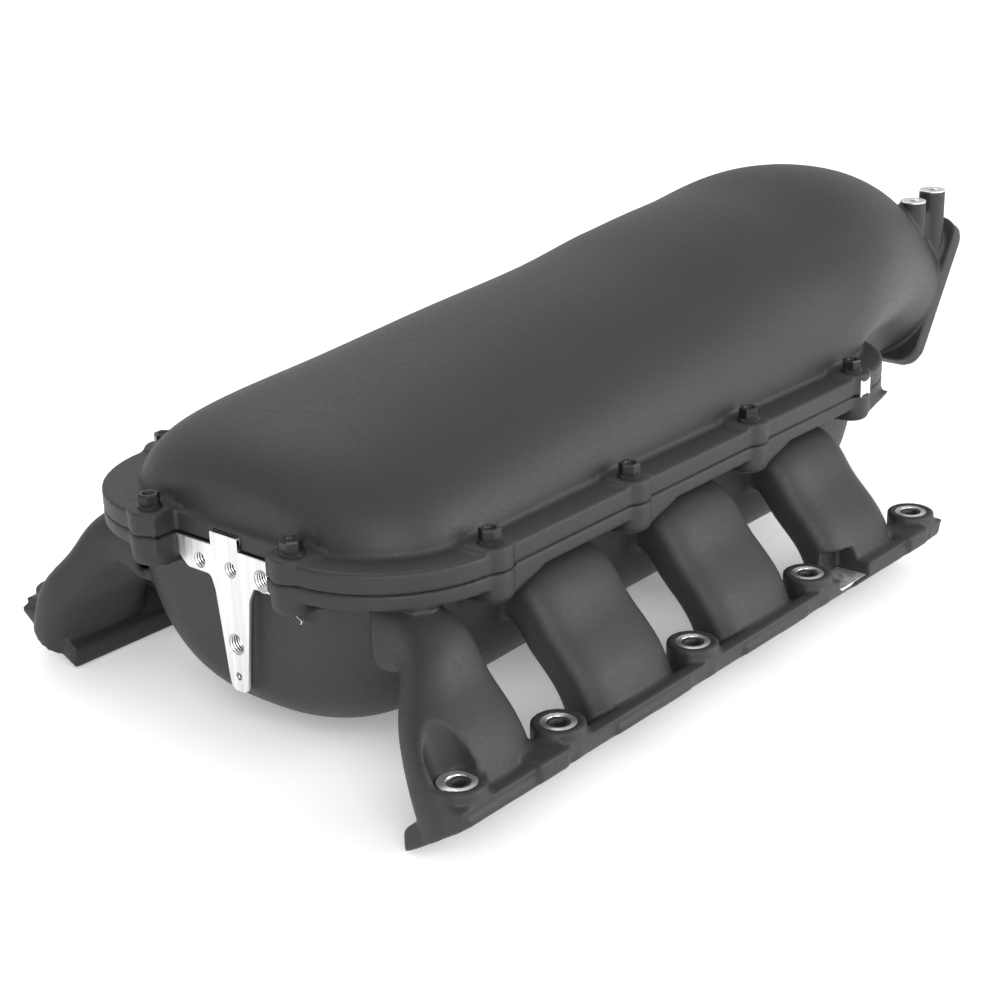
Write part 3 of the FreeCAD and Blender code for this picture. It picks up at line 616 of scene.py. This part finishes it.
class MANIFOLD_OT_patches(bpy.types.Operator):
    """Makes the bare patches: the boss flat, the flange relief and the throttle face"""

    bl_idname = "manifold.patches"
    bl_label = "Bare patches"

    def execute(self, context):
        outline = rounded(((-5.3, -14), (5.3, -14), (5.3, -3.2), (-5.3, -3.2)), (0.6,) * 4, 3)
        flat = flat_plate(outline, (), 1.6, 0.25)
        put("boss_flat", placed(flat, X_WAY, Z_WAY, -Y_WAY, BOSS_FLAT), "milled")
        rim = [(232.6, -156.5), (261.6, -156.5), (261.6, -176.6), (234.6, -176.6)]
        middle_x, middle_y = RELIEF_BOLT
        for turn in (-0.62, -0.4, -0.2, 0.0, 0.25):
            x = middle_x + RELIEF_ROUND_R * math.cos(turn)
            rim.append((x, middle_y + RELIEF_ROUND_R * math.sin(turn)))
        relief = flat_plate(rim, (), 1.4, 0.3)
        put("flange_relief", placed(relief, X_WAY, Y_WAY, Z_WAY, RELIEF_TOP), "milled")
        out = Vector((math.cos(THROTTLE_TILT), 0, -math.sin(THROTTLE_TILT)))
        up = Vector((math.sin(THROTTLE_TILT), 0, math.cos(THROTTLE_TILT)))
        reach = THROTTLE_PCD / 2 * math.sin(math.radians(45))
        holes = [(a * reach, b * reach, THROTTLE_HOLE_R) for a in (-1, 1) for b in (-1, 1)]
        half = THROTTLE_PLATE_HALF
        square = ((-half, -half), (half, -half), (half, half), (-half, half))
        square = rounded(square, (THROTTLE_CORNER_R,) * 4, 12)
        plate = flat_plate(square, holes + [(0, 0, THROTTLE_RECESS_R)], 1.6, 0.3)
        lip = lathed([(48.0, -1.4), (48.0, 0.1), (47.7, 0.2), (46.5, 0.2), (46.1, -0.2), (46.1, -1.4)], 128)
        meshes = [placed(mesh, Y_WAY, up, out, THROTTLE_FACE) for mesh in (plate, lip)]
        for mesh in meshes:
            mesh.transform(Matrix.Translation(out * 0.15 * MM))
        put("throttle_face", joined(meshes), "milled")
        return {"FINISHED"}


class MANIFOLD_OT_joint(bpy.types.Operator):
    """Makes the thin line where the cover meets the base"""

    bl_idname = "manifold.joint"
    bl_label = "Joint line"

    def execute(self, context):
        work = bmesh.new()
        work.from_mesh(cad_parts["lower_base"].data)
        bmesh.ops.remove_doubles(work, verts=work.verts, dist=WELD)
        level = (0, 0, at(0, 0, JOINT_CUT_Z).z)
        everything = work.verts[:] + work.edges[:] + work.faces[:]
        cut = bmesh.ops.bisect_plane(work, geom=everything, dist=1e-7, plane_co=level, plane_no=(0, 0, 1))
        edges = [e for e in cut["geom_cut"] if isinstance(e, bmesh.types.BMEdge)]
        loops = chains(edges)
        outer = max(loops, key=lambda ring: max(v.x for v in ring) - min(v.x for v in ring))
        work.free()
        middle = sum(outer, Vector()) / len(outer)
        inset = JOINT_INSET * MM
        ring = []
        for i, here in enumerate(outer):
            way = (outer[(i + 1) % len(outer)] - outer[i - 1]).normalized()
            side = Vector((way.y, -way.x, 0))
            if side.dot(here - middle) < 0:
                side.negate()
            ring.append(here - side * inset)
        count = len(ring)
        corners = [v + Z_WAY * (z * MM) for z in JOINT_EDGES for v in ring]
        inner = [v + (middle - v).normalized() * (JOINT_DEPTH * MM) for v in corners]
        faces = []
        for i in range(count):
            k = (i + 1) % count
            low, high, deep_low, deep_high = (row * count + i for row in range(4))
            next_low, next_high, next_deep_low, next_deep_high = (row * count + k for row in range(4))
            faces += [(low, next_low, next_high, high), (deep_low, deep_high, next_deep_high, next_deep_low),
                      (low, deep_low, next_deep_low, next_low), (high, next_high, next_deep_high, deep_high)]
        mesh = bpy.data.meshes.new("joint_line")
        mesh.from_pydata(corners + inner, [], faces)
        put("joint_line", joined([mesh]), "bolt")
        return {"FINISHED"}


def chains(edges):
    """Closed rings of points from loose edges."""
    left = set(edges)
    rings = []
    while left:
        edge = left.pop()
        ring = [edge.verts[0], edge.verts[1]]
        while ring[-1] is not ring[0]:
            following = [e for e in ring[-1].link_edges if e in left]
            if not following:
                break
            left.remove(following[0])
            ring.append(following[0].other_vert(ring[-1]))
        rings.append([v.co.copy() for v in ring[:-1]])
    return rings


class MANIFOLD_OT_bolts(bpy.types.Operator):
    """Makes the twelve flange bolts of the cover by instancing one bolt on their places"""

    bl_idname = "manifold.bolts"
    bl_label = "Cover bolts"

    def execute(self, context):
        looks = context.scene.manifold_looks
        nodes = sorted(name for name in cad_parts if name.startswith("cover_bolt_"))
        seats = []
        for name in nodes:
            low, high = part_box(name)
            seats.append(((low.x + high.x) / 2, (low.y + high.y) / 2, SEAT.z))
        mesh = bpy.data.meshes.new("bolt_seats")
        mesh.from_pydata(seats, [], [])
        piece = loose(mesh)
        modifier = piece.modifiers.new("bolts", "NODES")
        modifier.node_group, inputs = bolt_tree()
        modifier[inputs["Across flats"]] = looks.bolt_across
        modifier[inputs["Seed"]] = BOLT_SEED
        mesh = baked(piece)
        piece = loose(mesh)
        edge = piece.modifiers.new("edge", "BEVEL")
        edge.width = 0.22 * MM
        edge.segments = 2
        edge.angle_limit = math.radians(28)
        mesh = baked(piece)
        put("cover_bolts", mesh, "bolt", nodes)
        return {"FINISHED"}


def bolt_tree():
    """Geometry nodes for one flange bolt on each point, each turned by chance."""
    tree = bpy.data.node_groups.new("flange_bolts", "GeometryNodeTree")
    face = tree.interface
    face.new_socket("Geometry", in_out="INPUT", socket_type="NodeSocketGeometry")
    sizes = {"Across flats": ("NodeSocketFloat", 0.010), "Seed": ("NodeSocketInt", BOLT_SEED)}
    inputs = {}
    for name, (kind, default) in sizes.items():
        socket = face.new_socket(name, in_out="INPUT", socket_type=kind)
        socket.default_value = default
        inputs[name] = socket.identifier
    face.new_socket("Geometry", in_out="OUTPUT", socket_type="NodeSocketGeometry")
    start = tree.nodes.new("NodeGroupInput")
    end = tree.nodes.new("NodeGroupOutput")

    def node(kind, settings=None, values=None):
        made = tree.nodes.new(kind)
        for key, value in (settings or {}).items():
            setattr(made, key, value)
        for key, value in (values or {}).items():
            if isinstance(value, bpy.types.NodeSocket):
                tree.links.new(value, made.inputs[key])
            else:
                made.inputs[key].default_value = value
        return made

    across = start.outputs["Across flats"]
    corner = node("ShaderNodeMath", {"operation": "MULTIPLY"}, {0: across, 1: HEX_CORNER})
    top = node("ShaderNodeMath", {"operation": "MULTIPLY"}, {0: corner.outputs[0], 1: 0.9})

    def cone(sides, low, high, height, lift):
        """A cone or cylinder from its lower and upper radius, standing at a height."""
        values = {"Vertices": sides, "Radius Top": high, "Radius Bottom": low, "Depth": height * MM}
        made = node("GeometryNodeMeshCone", {"fill_type": "NGON"}, values)
        links = {"Geometry": made.outputs["Mesh"], "Translation": (0, 0, lift * MM)}
        moved = node("GeometryNodeTransform", {}, links)
        return moved.outputs[0]

    # the flange, its sloping top, the hexagon, its chamfer and the shank
    parts = [cone(48, 6.6 * MM, 6.5 * MM, 0.5, 0.0), cone(48, 6.5 * MM, 5.2 * MM, 1.1, 0.5),
             cone(6, corner.outputs[0], corner.outputs[0], 4.8, 1.5),
             cone(6, corner.outputs[0], top.outputs[0], 0.9, 6.3),
             cone(24, 3.0 * MM, 3.0 * MM, 26.0, -26.0)]
    join = node("GeometryNodeJoinGeometry")
    for part in parts:
        tree.links.new(part, join.inputs[0])
    dish = cone(32, 2.4 * MM, 3.8 * MM, 2.0, 5.9)
    dished = node("GeometryNodeMeshBoolean", {"operation": "DIFFERENCE"}, {"Mesh 1": join.outputs[0]})
    tree.links.new(dish, dished.inputs["Mesh 2"])
    spin = node("FunctionNodeRandomValue", {"data_type": "FLOAT"}, {"Seed": start.outputs["Seed"]})
    spin.inputs[3].default_value = math.radians(60)
    turn = node("ShaderNodeCombineXYZ", {}, {"Z": spin.outputs[1]})
    points = node("GeometryNodeMeshToPoints", {}, {"Mesh": start.outputs["Geometry"]})
    links = {"Points": points.outputs[0], "Instance": dished.outputs[0], "Rotation": turn.outputs[0]}
    placed_bolts = node("GeometryNodeInstanceOnPoints", {}, links)
    solid = node("GeometryNodeRealizeInstances", {}, {"Geometry": placed_bolts.outputs[0]})
    links = {"Geometry": solid.outputs[0], "Material": material("bolt")}
    painted = node("GeometryNodeSetMaterial", {}, links)
    tree.links.new(painted.outputs[0], end.inputs[0])
    return tree, inputs


class MANIFOLD_OT_small(bpy.types.Operator):
    """Gives the seals and dowels their materials"""

    bl_idname = "manifold.small"
    bl_label = "Seals and dowels"

    def execute(self, context):
        for name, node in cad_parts.items():
            finish = "rubber" if "seal" in name else "steel" if "dowel" in name else None
            if finish:
                node.data.materials.clear()
                node.data.materials.append(material(finish))
        return {"FINISHED"}


class MANIFOLD_OT_stage(bpy.types.Operator):
    """Makes the floor, the lights and the camera"""

    bl_idname = "manifold.stage"
    bl_label = "Studio"

    def execute(self, context):
        scene = context.scene
        reach = FLOOR_REACH
        mesh = bpy.data.meshes.new("studio_floor")
        corners = [(-reach, -reach, 0), (reach, -reach, 0), (reach, reach, 0), (-reach, reach, 0)]
        mesh.from_pydata(corners, [], [(0, 1, 2, 3)])
        mesh.materials.append(material("floor"))
        floor = bpy.data.objects.new("studio_floor", mesh)
        scene.collection.objects.link(floor)
        lamp("key_light", (-2.2, -2.2, 1.7), 2.2, 60.0)
        lamp("side_light", (1.4, -2.8, 1.3), 2.2, 72.0)
        lamp("back_light", (0.5, 1.8, 2.6), 2.0, 18.0)
        world = bpy.data.worlds.new("studio")
        scene.world = world
        world.use_nodes = True
        world.node_tree.nodes["Background"].inputs[0].default_value = (1, 1, 1, 1)
        world.node_tree.nodes["Background"].inputs[1].default_value = 0.72
        scene.view_settings.view_transform = "Standard"
        camera(scene)
        return {"FINISHED"}


def lamp(name, place, size, power):
    """A square soft light that faces the middle of the object."""
    data = bpy.data.lights.new(name, "AREA")
    data.size = size
    data.energy = power
    light = bpy.data.objects.new(name, data)
    bpy.context.scene.collection.objects.link(light)
    light.location = place
    aim = Vector((0, 0, 0.1)) - Vector(place)
    light.rotation_euler = aim.to_track_quat("-Z", "Y").to_euler()
    return light


def camera(scene):
    """A long lens behind and to the right, a little above, rolled slightly."""
    turn, lift, roll = (math.radians(a) for a in (-49.15, 21.10, -1.72))
    back = Vector((math.sin(turn) * math.cos(lift), -math.cos(turn) * math.cos(lift), math.sin(lift)))
    flat = Vector((math.cos(turn), math.sin(turn), 0))
    level = back.cross(flat)
    right = flat * math.cos(roll) + level * math.sin(roll)
    up = level * math.cos(roll) - flat * math.sin(roll)
    data = bpy.data.cameras.new("camera")
    data.lens = 69.5
    data.sensor_width = 36.0
    data.clip_end = 60.0
    view = bpy.data.objects.new("camera", data)
    scene.collection.objects.link(view)
    turned = Matrix((right, up, back)).transposed().to_4x4()
    view.matrix_world = Matrix.Translation(at(-644.96, -683.51, 351.82)) @ turned
    scene.camera = view


class MANIFOLD_PT_panel(bpy.types.Panel):
    """Sidebar panel of the manifold's pieces"""

    bl_idname = "MANIFOLD_PT_panel"
    bl_label = "Intake manifold"
    bl_space_type = "VIEW_3D"
    bl_region_type = "UI"
    bl_category = "Manifold"

    def draw(self, context):
        for operator in STEPS:
            self.layout.operator(operator.bl_idname)
        for name in ManifoldLooks.__annotations__:
            self.layout.prop(context.scene.manifold_looks, name)


STEPS = (MANIFOLD_OT_cover, MANIFOLD_OT_base, MANIFOLD_OT_pad, MANIFOLD_OT_spots, MANIFOLD_OT_patches,
         MANIFOLD_OT_joint, MANIFOLD_OT_bolts, MANIFOLD_OT_small, MANIFOLD_OT_stage)


def register():
    for kind in (ManifoldLooks, *STEPS, MANIFOLD_PT_panel):
        bpy.utils.register_class(kind)
    bpy.types.Scene.manifold_looks = PointerProperty(type=ManifoldLooks)


def unregister():
    del bpy.types.Scene.manifold_looks
    for kind in (MANIFOLD_PT_panel, *reversed(STEPS), ManifoldLooks):
        bpy.utils.unregister_class(kind)


def main():
    register()
    for operator in STEPS:
        group, name = operator.bl_idname.split(".")
        getattr(getattr(bpy.ops, group), name)()


if __name__ == "__main__":
    main()
